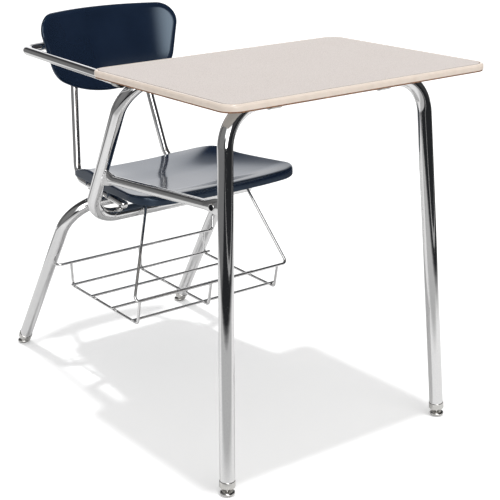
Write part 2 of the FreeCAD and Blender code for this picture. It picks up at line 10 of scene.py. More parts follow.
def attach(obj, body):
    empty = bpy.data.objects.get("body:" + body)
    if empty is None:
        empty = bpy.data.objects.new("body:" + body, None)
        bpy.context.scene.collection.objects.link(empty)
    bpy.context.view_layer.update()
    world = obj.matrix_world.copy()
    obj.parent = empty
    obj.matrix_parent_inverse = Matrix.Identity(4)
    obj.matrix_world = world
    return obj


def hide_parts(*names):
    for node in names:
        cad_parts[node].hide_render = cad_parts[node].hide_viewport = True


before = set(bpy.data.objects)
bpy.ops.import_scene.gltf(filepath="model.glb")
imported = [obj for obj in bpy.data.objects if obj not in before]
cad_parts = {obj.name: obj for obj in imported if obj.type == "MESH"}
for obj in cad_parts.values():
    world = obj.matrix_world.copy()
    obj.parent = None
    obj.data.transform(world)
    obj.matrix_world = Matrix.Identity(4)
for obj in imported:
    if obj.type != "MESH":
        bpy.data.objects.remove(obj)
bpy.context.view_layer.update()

# Front leg frame: one steel tube bent to a wide arch, its run strapped to the underside of the top.
# It is polished and chromed after bending; each cut end stands in a foot ferrule.
LEG_RADIUS = 0.0143
LEG_WALL = 0.0016
FRONT_LEG_CORNERS = (
    (-0.271043, -0.42492, 0.0187),
    (-0.235, -0.393747, 0.7232),
    (0.235, -0.393747, 0.7232),
    (0.271043, -0.42492, 0.0187),
)
FRONT_LEG_BEND = 0.076
BEND_STEP = math.radians(2.5)
LEAST_BEND_STEPS = 6
TUBE_SIDES = 56
BORE_DEPTH = 0.045
START_SIDE = (0.31, 0.27, 0.91)
SHARP_ANGLE = math.radians(38)
WAVE_SCALE = 34
WAVE_STRENGTH = 0.12


def bent_line(corners, bend):
    """Points and directions along straight runs that are joined by round bends."""
    corners = [Vector(corner) for corner in corners]
    line = [(corners[0], (corners[1] - corners[0]).normalized())]
    for before, corner, after in zip(corners, corners[1:], corners[2:]):
        arrive = (corner - before).normalized()
        leave = (after - corner).normalized()
        turn = arrive.angle(leave)
        start = corner - arrive * (bend * math.tan(turn / 2))
        inward = (leave - arrive * arrive.dot(leave)).normalized()
        count = max(LEAST_BEND_STEPS, round(turn / BEND_STEP))
        for k in range(count + 1):
            angle = turn * k / count
            spot = start + (arrive * math.sin(angle) + inward * (1 - math.cos(angle))) * bend
            line.append((spot, arrive * math.cos(angle) + inward * math.sin(angle)))
    line.append((corners[-1], (corners[-1] - corners[-2]).normalized()))
    return line


def piece_from(name, built):
    """A smooth piece from a built mesh, with sharp edges where its faces meet steeply."""
    bmesh.ops.recalc_face_normals(built, faces=built.faces)
    mesh = bpy.data.meshes.new(name)
    built.to_mesh(mesh)
    built.free()
    mesh.shade_smooth()
    mesh.set_sharp_from_angle(angle=SHARP_ANGLE)
    piece = bpy.data.objects.new(name, mesh)
    bpy.context.scene.collection.objects.link(piece)
    return piece


def join_rows(built, rows):
    """Faces between each row of points and the next."""
    for low, high in zip(rows, rows[1:]):
        for k in range(len(low)):
            built.faces.new((low[k - 1], low[k], high[k], high[k - 1]))


def skin_mesh(name, islands):
    """One closed piece from islands of rings; the rings of an island have the same count of points."""
    built = bmesh.new()
    for rings in islands:
        rows = [[built.verts.new(spot) for spot in ring] for ring in rings]
        join_rows(built, rows)
        built.faces.new(rows[0])
        built.faces.new(rows[-1])
    return piece_from(name, built)


def ring_at(spot, ahead, side, wide, tall, sides):
    """An oval ring of points across a direction; wide lies along the side vector."""
    side = (side - ahead * side.dot(ahead)).normalized()
    up = ahead.cross(side)
    turns = [2 * math.pi * k / sides for k in range(sides)]
    return [spot + side * (wide * math.cos(a)) + up * (tall * math.sin(a)) for a in turns]


def tube_rings(line, radius, wall, sides):
    """Rings along a hollow tube: from a short way inside one open end to the same inside the other."""
    side = Vector(START_SIDE)
    bore = radius - wall
    rings = []
    for spot, ahead in line:
        side = (side - ahead * side.dot(ahead)).normalized()
        if not rings:
            rings.append(ring_at(spot + ahead * BORE_DEPTH, ahead, side, bore, bore, sides))
            rings.append(ring_at(spot, ahead, side, bore, bore, sides))
        rings.append(ring_at(spot, ahead, side, radius, radius, sides))
    rings.append(ring_at(spot, ahead, side, bore, bore, sides))
    rings.append(ring_at(spot - ahead * BORE_DEPTH, ahead, side, bore, bore, sides))
    return rings


def tree_kit(tree):
    """Short ways to add a node to a tree, and to feed a socket from a node or with a fixed value."""

    def add(kind, **values):
        node = tree.nodes.new(kind)
        for key, value in values.items():
            setattr(node, key, value)
        return node

    def feed(source, socket):
        if isinstance(source, bpy.types.NodeSocket):
            tree.links.new(source, socket)
        else:
            socket.default_value = source

    return add, feed


def node_kit(name):
    """A material with its shader, the place on the piece, and short ways to add and feed nodes."""
    material = bpy.data.materials.new(name)
    material.use_nodes = True
    shader = material.node_tree.nodes["Principled BSDF"]
    add, feed = tree_kit(material.node_tree)
    place = add("ShaderNodeTexCoord").outputs["Object"]
    return material, shader, place, add, feed


def noise_of(add, feed, place, scale, detail):
    """Cloudy noise over a piece; a larger scale is a finer noise."""
    noise = add("ShaderNodeTexNoise")
    feed(scale, noise.inputs["Scale"])
    feed(detail, noise.inputs["Detail"])
    feed(place, noise.inputs["Vector"])
    return noise.outputs["Fac"]


def ramp_of(add, feed, factor, stops):
    """A factor turned to colour by stops, each a place and its colour."""
    ramp = add("ShaderNodeValToRGB")
    while len(ramp.color_ramp.elements) < len(stops):
        ramp.color_ramp.elements.new(0.5)
    for element, (place, colour) in zip(ramp.color_ramp.elements, stops):
        element.position = place
        element.color = (*colour, 1)
    feed(factor, ramp.inputs["Fac"])
    return ramp.outputs["Color"]


def range_of(add, feed, value, span=(0, 1), onto=(0, 1), kind="LINEAR"):
    """A value moved from one span onto another, and held to the ends."""
    moved = add("ShaderNodeMapRange", interpolation_type=kind)
    for socket, end in zip(("From Min", "From Max", "To Min", "To Max"), (*span, *onto)):
        feed(end, moved.inputs[socket])
    feed(value, moved.inputs["Value"])
    return moved.outputs["Result"]


def bump_of(add, feed, height, strength, distance):
    """Fine relief from a pattern of heights."""
    bump = add("ShaderNodeBump")
    feed(strength, bump.inputs["Strength"])
    feed(distance, bump.inputs["Distance"])
    feed(height, bump.inputs["Height"])
    return bump.outputs["Normal"]


def coat(feed, shader, colour, roughness, relief):
    """Feeds a shader with its colour, roughness and relief."""
    feed(colour, shader.inputs["Base Color"])
    feed(roughness, shader.inputs["Roughness"])
    feed(relief, shader.inputs["Normal"])


def metal(name, dark, light, roughness, polish_scale, wave_depth):
    """Plated steel: a faint uneven polish, fine haze, and the slight waviness of drawn stock."""
    material, shader, place, add, feed = node_kit(name)
    haze = noise_of(add, feed, place, scale=polish_scale, detail=4)
    wave = noise_of(add, feed, place, scale=WAVE_SCALE, detail=2)
    colour = ramp_of(add, feed, haze, ((0.3, dark), (0.7, light)))
    relief = bump_of(add, feed, wave, WAVE_STRENGTH, wave_depth)
    coat(feed, shader, colour, range_of(add, feed, haze, onto=roughness), relief)
    feed(1, shader.inputs["Metallic"])
    return material


tube_chrome = metal(
    "tube_chrome", dark=(0.70, 0.70, 0.705), light=(0.78, 0.775, 0.77),
    roughness=(0.03, 0.075), polish_scale=420, wave_depth=0.0006,
)
front_legs = skin_mesh("front_leg_arch", [
    tube_rings(bent_line(FRONT_LEG_CORNERS, FRONT_LEG_BEND), LEG_RADIUS, LEG_WALL, TUBE_SIDES),
])
front_legs.data.materials.append(tube_chrome)
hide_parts("front_leg_frame")
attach(front_legs, "frame")

# Rear leg frame: the same chromed tube, bent to a low arch that leans back under the rear of the seat.
# The two seat rails are welded across the top of its run.
REAR_LEG_CORNERS = (
    (-0.228246, 0.480903, 0.0187),
    (-0.2169, 0.227753, 0.402),
    (0.2169, 0.227753, 0.402),
    (0.228246, 0.480903, 0.0187),
)
REAR_LEG_BEND = 0.080

rear_legs = skin_mesh("rear_leg_arch", [
    tube_rings(bent_line(REAR_LEG_CORNERS, REAR_LEG_BEND), LEG_RADIUS, LEG_WALL, TUBE_SIDES),
])
rear_legs.data.materials.append(tube_chrome)
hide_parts("rear_leg_frame")
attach(rear_legs, "frame")

# Arm support: a chromed tube strapped under the top, bent down the sitter's right and in under the seat.
# It carries the seat's front on its lower run; both cut ends are left open.
ARM_CORNERS = (
    (0.190, -0.067747, 0.7232),
    (-0.235, -0.067747, 0.7232),
    (-0.235, 0.113953, 0.402),
    (0.185, 0.113953, 0.402),
)
ARM_BENDS = (0.080, 0.068)


def arm_line():
    """The tube's line, whose upper bend is wider than its lower one."""
    upper = bent_line(ARM_CORNERS[:3], ARM_BENDS[0])
    lower = bent_line(ARM_CORNERS[1:], ARM_BENDS[1])
    return upper[:-1] + lower[1:]


arm_support = skin_mesh("arm_support", [tube_rings(arm_line(), LEG_RADIUS, LEG_WALL, TUBE_SIDES)])
arm_support.data.materials.append(tube_chrome)
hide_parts("arm_support_tube")
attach(arm_support, "frame")

# Side stretcher: a thinner chromed tube between the arm support and the right front leg.
# Its pressed oval ends are welded to the tubes with a lumpy bead, and a round eye sits near the leg.
STRETCHER_ENDS = ((-0.235, 0.053996, 0.508), (-0.244168, -0.401670, 0.544))
STRETCHER_RADIUS = 0.0095
STRETCHER_OVAL = (0.004, 0.0170)
STRETCHER_FLAT = 0.018
STRETCHER_PRESSED = 0.066
STRETCHER_STATIONS = 20
WELD_BEAD = 0.0016
WELD_LUMP = 0.0004
WELD_LUMPS = 17
WELD_SIDES = 12
EYE_PLACE = 0.036
EYE_DROP = 0.0005
EYE_REACH = 0.005
EYE_RIM = (
    (0.0072, -0.0020), (0.0072, 0.0006), (0.0068, 0.0014),
    (0.0062, 0.0017), (0.0056, 0.0014), (0.0054, 0.0004),
)
EYE_FLOOR = ((0.0055, -0.0010), (0.0055, 0.0008), (0.0030, 0.0005))
EYE_SIDES = 32
UPWARD = Vector((0, 0, 1))


def butt_run(offset, inward, axis):
    """How far from the middle of a round tube a line of the stretcher's skin leaves that tube's face."""
    run = inward - axis * inward.dot(axis)
    lean = offset - axis * offset.dot(axis)
    half = run.dot(lean)
    reach = half * half - run.dot(run) * (lean.dot(lean) - LEG_RADIUS ** 2)
    return (math.sqrt(reach) - half) / run.dot(run)


def pressed_oval(place):
    """Half width and half height of the stretcher at a place along a pressed end."""
    share = max(0, (place - STRETCHER_FLAT) / (STRETCHER_PRESSED - STRETCHER_FLAT))
    ease = share * share * (3 - 2 * share)
    return tuple(pressed + (STRETCHER_RADIUS - pressed) * ease for pressed in STRETCHER_OVAL)


def stretcher_end(spot, ahead, inward, axis):
    """Rings from a round tube's face, where a pressed end is welded on, to the stretcher's round."""
    side = ahead.cross(UPWARD)
    middle = Vector((0, 0, 0))
    clear = butt_run(middle, inward, axis) / STRETCHER_PRESSED
    rings = []
    for k in range(STRETCHER_STATIONS + 1):
        step = k / STRETCHER_STATIONS
        wide, tall = pressed_oval(STRETCHER_PRESSED * (clear + (1 - clear) * step))
        ring = []
        for offset in ring_at(middle, ahead, side, wide, tall, TUBE_SIDES):
            met = butt_run(offset, inward, axis)
            ring.append(spot + offset + inward * (met + (STRETCHER_PRESSED - met) * step))
        rings.append(ring)
    return rings


def weld_rings(seam, ahead):
    """A lumpy weld bead that runs once round the seam of a pressed end."""
    count = len(seam)
    rings = []
    for k in range(count):
        along = (seam[(k + 1) % count] - seam[k - 1]).normalized()
        bead = WELD_BEAD + WELD_LUMP * math.sin(2 * math.pi * WELD_LUMPS * k / count)
        rings.append(ring_at(seam[k], along, ahead, bead, bead, WELD_SIDES))
    return rings


def eye_rings(profile):
    """Turned rings for the round eye on the outer face of the pressed end at the leg."""
    start, end = (Vector(spot) for spot in STRETCHER_ENDS)
    ahead = (end - start).normalized()
    outward = ahead.cross(UPWARD).normalized()
    face = end - ahead * EYE_PLACE + outward * pressed_oval(EYE_PLACE)[0] - UPWARD * EYE_DROP
    inner, outer = (pressed_oval(EYE_PLACE + reach)[0] for reach in (EYE_REACH, -EYE_REACH))
    outward = (outward + ahead * ((inner - outer) / (2 * EYE_REACH))).normalized()
    spots = [(face + outward * rise, wide) for wide, rise in profile]
    return [ring_at(spot, outward, ahead, wide, wide, EYE_SIDES) for spot, wide in spots]


def stretcher_islands():
    """The tube from one pressed end to the other, its two weld beads and the rim of its eye."""
    start, end = (Vector(spot) for spot in STRETCHER_ENDS)
    ahead = (end - start).normalized()
    arm_axis = (Vector(ARM_CORNERS[1]) - Vector(ARM_CORNERS[2])).normalized()
    leg_axis = (Vector(FRONT_LEG_CORNERS[1]) - Vector(FRONT_LEG_CORNERS[0])).normalized()
    near_arm = stretcher_end(start, ahead, ahead, arm_axis)
    near_leg = stretcher_end(end, ahead, -ahead, leg_axis)
    welds = [weld_rings(near_arm[0], ahead), weld_rings(near_leg[0], ahead)]
    return [near_arm + near_leg[::-1], *welds, eye_rings(EYE_RIM)]


stretcher = skin_mesh("side_stretcher_tube", stretcher_islands())
stretcher.data.materials.append(tube_chrome)
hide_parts("side_stretcher")
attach(stretcher, "frame")

# The eye's floor is a near-black disc sunk inside the rim: painted shade for the dark hollow of the eye,
# not the colour of the steel.
stretcher_eye = skin_mesh("side_stretcher_eye", [eye_rings(EYE_FLOOR)])
stretcher_eye.data.materials.append(metal(
    "eye_floor_painted_shade", dark=(0.010, 0.012, 0.014), light=(0.03, 0.034, 0.038),
    roughness=(0.32, 0.5), polish_scale=900, wave_depth=0.0004,
))
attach(stretcher_eye, "frame")

# Uprights: two chromed tubes, seat rails below with their front ends spun shut, and back posts above.
# They are welded over the two under-seat runs, and the shells are screwed to them.
UPRIGHT_RADIUS = 0.0084
UPRIGHT_WALL = 0.0014
UPRIGHT_CORNERS = ((0.076, 0.427753, 0.771), (0.1235, 0.358753, 0.42475), (0.158, 0.090253, 0.42475))
UPRIGHT_BEND = 0.045
END_DOME = 0.004
DOME_STEPS = 6
DOME_TURN = math.radians(82)


def closed_rings(line):
    """Rings of a post and its rail, open at the top and spun shut to a low dome at the rail's end."""
    *rings, outer, _, _ = tube_rings(line, UPRIGHT_RADIUS, UPRIGHT_WALL, TUBE_SIDES)
    spot, ahead = line[-1]
    for k in range(DOME_STEPS + 1):
        turn = DOME_TURN * k / DOME_STEPS
        middle = spot - ahead * (END_DOME * (1 - math.sin(turn)))
        rings.append([middle + (point - spot) * math.cos(turn) for point in outer])
    return rings


for side_name, side_sign in (("right", -1), ("left", 1)):
    corners = [(side_sign * x, y, z) for x, y, z in UPRIGHT_CORNERS]
    upright = skin_mesh("upright_post_" + side_name, [closed_rings(bent_line(corners, UPRIGHT_BEND))])
    upright.data.materials.append(tube_chrome)
    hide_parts("upright_" + side_name)
    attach(upright, "frame")

# Back rail: a thin chromed tube from under the top's rear corner, level to the right back post.
# It is clipped to the underside of the top and welded to the post.
BACK_RAIL_CORNERS = ((-0.2614, -0.096747, 0.728), (-0.226, 0.377253, 0.728), (-0.0819, 0.419183, 0.728))
BACK_RAIL_RADIUS = 0.0095
BACK_RAIL_WALL = 0.0014
BACK_RAIL_BEND = 0.038

rail = skin_mesh("back_rail_tube", [
    tube_rings(bent_line(BACK_RAIL_CORNERS, BACK_RAIL_BEND), BACK_RAIL_RADIUS, BACK_RAIL_WALL, TUBE_SIDES),
])
rail.data.materials.append(tube_chrome)
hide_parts("back_rail")
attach(rail, "frame")

# Writing top: a wood-composite core, a thin speckled sheet on it, and a moulded edge pressed on round it.
# The core's lip shows as a brown line under the edge, and a fine seam runs between edge and sheet.
# A pale backing sheet covers the underside.
TOP_HALF = (0.305, 0.2285)
TOP_MIDDLE_Y = -0.274747
TOP_CORNER = 0.032
TOP_HIGH = 0.752
TOP_LOW = 0.7375
EDGE_WIDTH = 0.007
EDGE_ROUND = 0.005
EDGE_LOW = 0.740
EDGE_LOW_ROUND = 0.0016
EDGE_SEAM_ROUND = 0.0004
SHEET_THICK = 0.0012
SHEET_SOFT = 0.0003
SEAM = 0.00015
SHEET_SEAM = 0.0014
KRAFT_BROWN = (0.10, 0.045, 0.02, 1)
BACKER_GREY = (0.46, 0.425, 0.385, 1)
CORE_LIP = 0.0015
OUTLINE_STEP = 0.006
CURVE_STEPS = 6
LEAST_CORNER_STEPS = 4
SHEET_LEAN = (0.55, 0.9)
BACKER_LEAN = (-0.9, -0.6)


def rounded_outline(corners, radii, step):
    """Points and outward normals round an outline with round corners, taken counter-clockwise."""
    corners = [Vector(corner) for corner in corners]
    bends = []
    for k, corner in enumerate(corners):
        arrive = (corner - corners[k - 1]).normalized()
        leave = (corners[(k + 1) % len(corners)] - corner).normalized()
        turn = math.acos(max(-1, min(1, arrive.dot(leave))))
        start = corner - arrive * (radii[k] * math.tan(turn / 2))
        left = Vector((-arrive.y, arrive.x))
        count = max(LEAST_CORNER_STEPS, round(turn / BEND_STEP / 2))
        arc = []
        for j in range(count + 1):
            angle = turn * j / count
            spot = start + (arrive * math.sin(angle) + left * (1 - math.cos(angle))) * radii[k]
            ahead = arrive * math.cos(angle) + left * math.sin(angle)
            arc.append((spot, Vector((ahead.y, -ahead.x))))
        bends.append(arc)
    outline = []
    for k, arc in enumerate(bends):
        outline += arc
        (last, normal), (following, _) = arc[-1], bends[(k + 1) % len(bends)][0]
        count = max(1, round((following - last).length / step))
        outline += [(last.lerp(following, j / count), normal) for j in range(1, count)]
    return outline


def top_ring(outline, inset, z):
    """A level ring round the top, drawn in from its outline."""
    spots = [spot - normal * inset for spot, normal in outline]
    return [Vector((spot.x, spot.y, z)) for spot in spots]


half_x, half_y = TOP_HALF
top_outline = rounded_outline(
    [
        (-half_x, TOP_MIDDLE_Y - half_y),
        (half_x, TOP_MIDDLE_Y - half_y),
        (half_x, TOP_MIDDLE_Y + half_y),
        (-half_x, TOP_MIDDLE_Y + half_y),
    ],
    [TOP_CORNER] * 4,
    OUTLINE_STEP,
)


def edge_rings():
    """Rings of the edge's section: down its inner face, under, and up round its outside."""
    profile = [(EDGE_WIDTH, TOP_HIGH - EDGE_SEAM_ROUND), (EDGE_WIDTH, EDGE_LOW)]
    turns = [math.pi / 2 * k / CURVE_STEPS for k in range(CURVE_STEPS + 1)]
    for turn in turns:
        inset = EDGE_LOW_ROUND * (1 - math.sin(turn))
        profile.append((inset, EDGE_LOW + EDGE_LOW_ROUND * (1 - math.cos(turn))))
    for turn in turns:
        inset = EDGE_ROUND * (1 - math.cos(turn))
        profile.append((inset, TOP_HIGH - EDGE_ROUND * (1 - math.sin(turn))))
    profile.append((EDGE_WIDTH - EDGE_SEAM_ROUND, TOP_HIGH))
    profile.append(profile[0])
    return [top_ring(top_outline, inset, z) for inset, z in profile]


def band_mesh(name, rings):
    """A closed band: the last ring is the first one again, so the ends are joined and not capped."""
    built = bmesh.new()
    rows = [[built.verts.new(spot) for spot in ring] for ring in rings[:-1]]
    join_rows(built, rows + rows[:1])
    return piece_from(name, built)


def facing_share(add, feed, lean):
    """How far a face looks up: 0 below the lean range and 1 above it."""
    split = add("ShaderNodeSeparateXYZ")
    feed(add("ShaderNodeNewGeometry").outputs["Normal"], split.inputs["Vector"])
    return range_of(add, feed, split.outputs["Z"], span=lean)


def colour_mix(add, feed, factor, low, high):
    """One colour that gives way to another as the factor rises."""
    mix = add("ShaderNodeMix", data_type="RGBA")
    feed(low, mix.inputs["A"])
    feed(high, mix.inputs["B"])
    feed(factor, mix.inputs["Factor"])
    return mix.outputs["Result"]


def edge_material():
    """Moulded edge: peach-beige plastic with a soft sheen, faint mottling and fine draw lines."""
    material, shader, place, add, feed = node_kit("edge_moulding")
    mottle = noise_of(add, feed, place, scale=60, detail=3)
    grain = noise_of(add, feed, place, scale=1500, detail=2)
    colour = ramp_of(add, feed, mottle, ((0.3, (0.76, 0.655, 0.565)), (0.7, (0.81, 0.705, 0.615))))
    relief = bump_of(add, feed, grain, strength=0.10, distance=0.0003)
    coat(feed, shader, colour, range_of(add, feed, mottle, onto=(0.13, 0.19)), relief)
    return material


def sheet_material():
    """Top sheet: warm grey-beige with fine flecks, satin and lightly pebbled, its cut edges brown."""
    material, shader, place, add, feed = node_kit("speckled_sheet")
    fleck = noise_of(add, feed, place, scale=620, detail=4)
    cloud = noise_of(add, feed, place, scale=9, detail=3)
    face = ramp_of(add, feed, fleck, (
        (0.30, (0.456, 0.405, 0.370)),
        (0.46, (0.622, 0.56, 0.523)),
        (0.62, (0.663, 0.60, 0.567)),
        (0.74, (0.787, 0.73, 0.691)),
    ))
    colour = colour_mix(add, feed, facing_share(add, feed, SHEET_LEAN), KRAFT_BROWN, face)
    relief = bump_of(add, feed, fleck, strength=0.12, distance=0.0003)
    coat(feed, shader, colour, range_of(add, feed, cloud, onto=(0.40, 0.52)), relief)
    return material


def core_material():
    """Composite core: brown pressed fibre with chips in it, and the pale backing sheet below."""
    material, shader, place, add, feed = node_kit("fibre_core")
    chips = noise_of(add, feed, place, scale=240, detail=6)
    fibre = ramp_of(add, feed, chips, (
        (0.30, (0.13, 0.055, 0.022)),
        (0.52, (0.25, 0.115, 0.05)),
        (0.72, (0.36, 0.19, 0.095)),
    ))
    colour = colour_mix(add, feed, facing_share(add, feed, BACKER_LEAN), BACKER_GREY, fibre)
    relief = bump_of(add, feed, chips, strength=0.35, distance=0.0006)
    coat(feed, shader, colour, range_of(add, feed, chips, onto=(0.6, 0.85)), relief)
    return material


core_inset = EDGE_WIDTH + SEAM
core = skin_mesh("top_core_board", [[
    top_ring(top_outline, core_inset, TOP_HIGH - SHEET_THICK),
    top_ring(top_outline, core_inset, EDGE_LOW),
    top_ring(top_outline, CORE_LIP, EDGE_LOW),
    top_ring(top_outline, CORE_LIP, TOP_LOW + SHEET_SOFT),
    top_ring(top_outline, CORE_LIP + SHEET_SOFT, TOP_LOW),
]])
core.data.materials.append(core_material())
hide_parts("desktop_core")
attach(core, "frame")

edge_band = band_mesh("top_edge_moulding", edge_rings())
edge_band.data.materials.append(edge_material())
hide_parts("desktop_edge_band")
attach(edge_band, "frame")

sheet = skin_mesh("top_sheet_panel", [[
    top_ring(top_outline, EDGE_WIDTH + SHEET_SEAM, TOP_HIGH - SHEET_THICK),
    top_ring(top_outline, EDGE_WIDTH + SHEET_SEAM, TOP_HIGH - SHEET_SOFT),
    top_ring(top_outline, EDGE_WIDTH + SHEET_SEAM + SHEET_SOFT, TOP_HIGH),
]])
sheet.data.materials.append(sheet_material())
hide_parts("desktop_sheet")
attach(sheet, "frame")

# Straps and screws: bent zinc-plated strips hold the tubes to the underside of the top.
# Pan-head screws through their flanges go into the core; the shells have the same screws.
STRAP_NODES = (
    "front_strap_right", "front_strap_left", "arm_strap_right", "arm_strap_left", "back_rail_clip",
)
SCREW_NODES = ("desktop_screws", "seat_screws", "back_screws")


def recoat(node, material):
    """Gives a piece that is kept from the solids a finish of its own."""
    kept = bpy.data.objects[node].data
    kept.materials.clear()
    kept.materials.append(material)


zinc = metal(
    "zinc_plate", dark=(0.42, 0.42, 0.41), light=(0.58, 0.58, 0.56),
    roughness=(0.24, 0.42), polish_scale=900, wave_depth=0.0004,
)
for node in STRAP_NODES + SCREW_NODES:
    recoat(node, zinc)

# Seat: one moulded shell of navy plastic, dished, with a turned-down rim that is deepest at the hips.
# Four bosses under it stand on the seat rails, where the screws come up.
SEAT_FRONT_Y = -0.058747
SEAT_REAR_Y = 0.337253
SEAT_MIDDLE = Vector((0, (SEAT_FRONT_Y + SEAT_REAR_Y) / 2))
SEAT_HALF_WIDTHS = (0.2145, 0.157)
SEAT_CORNERS = (0.053, 0.060)
SEAT_SKIN = 0.005
SEAT_ROLL_FRONT = (0.011, 0.55)
SEAT_ROLL_SIDE = (0.006, 0.30)
SEAT_DISH_POWER = 3
SEAT_STATIONS = (
    (-0.08, 0.472, 0.0095, 0.019),
    (0.04, 0.472, 0.0095, 0.019),
    (0.18, 0.463, 0.016, 0.017),
    (0.50, 0.451, 0.026, 0.024),
    (0.72, 0.448, 0.0325, 0.029),
    (0.97, 0.445, 0.010, 0.009),
    (1.08, 0.445, 0.010, 0.009),
)
SEAT_SHARES = 34
INNER_SHARE = 0.2
SEAT_LIP = ((0, 0.62), (0, 0.88), (0, 0.96), (0.15, 1), (0.85, 1), (1, 0.96))
ROLL_STEPS = 10
SEAT_BOSS_RADIUS = 0.009
SEAT_BOSSES = ((-0.14836, 0.165253), (-0.13294, 0.285253), (0.14836, 0.165253), (0.13294, 0.285253))
BOSS_SIDES = 32
RIM_LEAN = (0.10, 0.55)
RIM_ROUGHNESS = 0.42
RIM_GLOSS = 0.85
SHELL_ROUGHNESS = (0.09, 0.14)
SHELL_GLOSS = 0.7
SHELL_TINT = (0.70, 0.86, 1, 1)


def eased(stations, place, column):
    """Value of a column at a place along the stations, by a smooth curve through them."""
    k = 0
    while k < len(stations) - 2 and place > stations[k + 1][0]:
        k += 1
    low, high = stations[k], stations[k + 1]
    before = stations[k - 1] if k else low
    after = stations[k + 2] if k + 2 < len(stations) else high
    span = high[0] - low[0]
    share = max(0, min(1, (place - low[0]) / span))
    start = (high[column] - before[column]) / (high[0] - before[0]) * span
    finish = (after[column] - low[column]) / (after[0] - low[0]) * span
    a = 2 * low[column] - 2 * high[column] + start + finish
    b = -3 * low[column] + 3 * high[column] - 2 * start - finish
    return ((a * share + b) * share + start) * share + low[column]


def seat_surface(x, y):
    """Height of the dished seat at a spot, and the depth of its rim there."""
    share = (y - SEAT_FRONT_Y) / (SEAT_REAR_Y - SEAT_FRONT_Y)
    half = SEAT_HALF_WIDTHS[0] + (SEAT_HALF_WIDTHS[1] - SEAT_HALF_WIDTHS[0]) * share
    rise = eased(SEAT_STATIONS, share, 2) * min(1, abs(x / half)) ** SEAT_DISH_POWER
    return eased(SEAT_STATIONS, share, 1) + rise, eased(SEAT_STATIONS, share, 3)


def seat_ring(outline, inset, scale, drop, skirt_share):
    """A ring under the seat's top: drawn in, shrunk to the middle, let down by a drop and some rim."""
    ring = []
    for spot, normal in outline:
        flat = SEAT_MIDDLE + (spot - normal * inset - SEAT_MIDDLE) * scale
        height, skirt = seat_surface(flat.x, flat.y)
        ring.append(Vector((flat.x, flat.y, height - drop - skirt * skirt_share)))
    return ring


def seat_top_ring(outline, scale, turn):
    """A ring on the seat's top or its round rim, broad at the front and rear and tight at the sides."""
    rolls = tuple(zip(SEAT_ROLL_FRONT, SEAT_ROLL_SIDE))
    ring = []
    for spot, normal in outline:
        roll, depth = (front + (side - front) * abs(normal.x) for front, side in rolls)
        flat = SEAT_MIDDLE + (spot - normal * roll * (1 - math.sin(turn)) - SEAT_MIDDLE) * scale
        height, skirt = seat_surface(flat.x, flat.y)
        ring.append(Vector((flat.x, flat.y, height - skirt * depth * (1 - math.cos(turn)))))
    return ring


def seat_rings():
    """Rings from the middle of the top, over the rim, down the skirt, and back under to the middle."""
    front, rear = SEAT_HALF_WIDTHS
    outline = rounded_outline(
        [(-front, SEAT_FRONT_Y), (front, SEAT_FRONT_Y), (rear, SEAT_REAR_Y), (-rear, SEAT_REAR_Y)],
        [SEAT_CORNERS[0], SEAT_CORNERS[0], SEAT_CORNERS[1], SEAT_CORNERS[1]],
        OUTLINE_STEP,
    )
    scales = [(k + INNER_SHARE) / (SEAT_SHARES + INNER_SHARE) for k in range(SEAT_SHARES + 1)]
    rings = [seat_top_ring(outline, scale, 0) for scale in scales]
    rings += [seat_top_ring(outline, 1, math.pi / 2 * k / ROLL_STEPS) for k in range(1, ROLL_STEPS + 1)]
    rings += [seat_ring(outline, SEAT_SKIN * across, 1, 0, share) for across, share in SEAT_LIP]
    rings += [seat_ring(outline, SEAT_SKIN, scale, SEAT_SKIN, 0) for scale in reversed(scales)]
    return rings


def seat_boss(x, y):
    """A round boss whose foot saddles the seat rail and whose head runs into the shell."""
    head, foot = (Vector(corner) for corner in UPRIGHT_CORNERS[1:])
    rail = (foot - head).normalized()
    rail.x = math.copysign(rail.x, x)
    across = rail.cross(UPWARD)
    middle = Vector((x, y, seat_surface(x, y)[0] - SEAT_SKIN / 2))
    top = ring_at(middle, UPWARD, across, SEAT_BOSS_RADIUS, SEAT_BOSS_RADIUS, BOSS_SIDES)
    saddle = []
    for spot in top:
        rise = math.sqrt(max(0, UPRIGHT_RADIUS ** 2 - across.dot(spot - middle) ** 2))
        saddle.append(Vector((spot.x, spot.y, foot.z + rise)))
    return [saddle, top]


def shell_material(name, rim_roughness, rim_gloss):
    """Moulded plastic: deep navy, finely pebbled, with a soft gloss that is duller on a seat's rim."""
    material, shader, place, add, feed = node_kit(name)
    pebble = add("ShaderNodeTexVoronoi", feature="SMOOTH_F1")
    feed(1100, pebble.inputs["Scale"])
    feed(place, pebble.inputs["Vector"])
    cloud = noise_of(add, feed, place, scale=14, detail=3)
    colour = ramp_of(add, feed, cloud, ((0.3, (0.0065, 0.0140, 0.032)), (0.7, (0.0090, 0.0180, 0.040))))
    upward = facing_share(add, feed, RIM_LEAN)
    smooth = range_of(add, feed, cloud, onto=SHELL_ROUGHNESS)
    relief = bump_of(add, feed, pebble.outputs["Distance"], strength=0.04, distance=0.0002)
    coat(feed, shader, colour, range_of(add, feed, upward, onto=(rim_roughness, smooth)), relief)
    gloss = range_of(add, feed, upward, onto=(rim_gloss, SHELL_GLOSS))
    feed(gloss, shader.inputs["Specular IOR Level"])
    feed(SHELL_TINT, shader.inputs["Specular Tint"])
    return material


seat = skin_mesh("seat_moulding", [seat_rings()] + [seat_boss(x, y) for x, y in SEAT_BOSSES])
seat.data.materials.append(shell_material("navy_seat_moulding", RIM_ROUGHNESS, RIM_GLOSS))
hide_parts("seat_shell")
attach(seat, "frame")

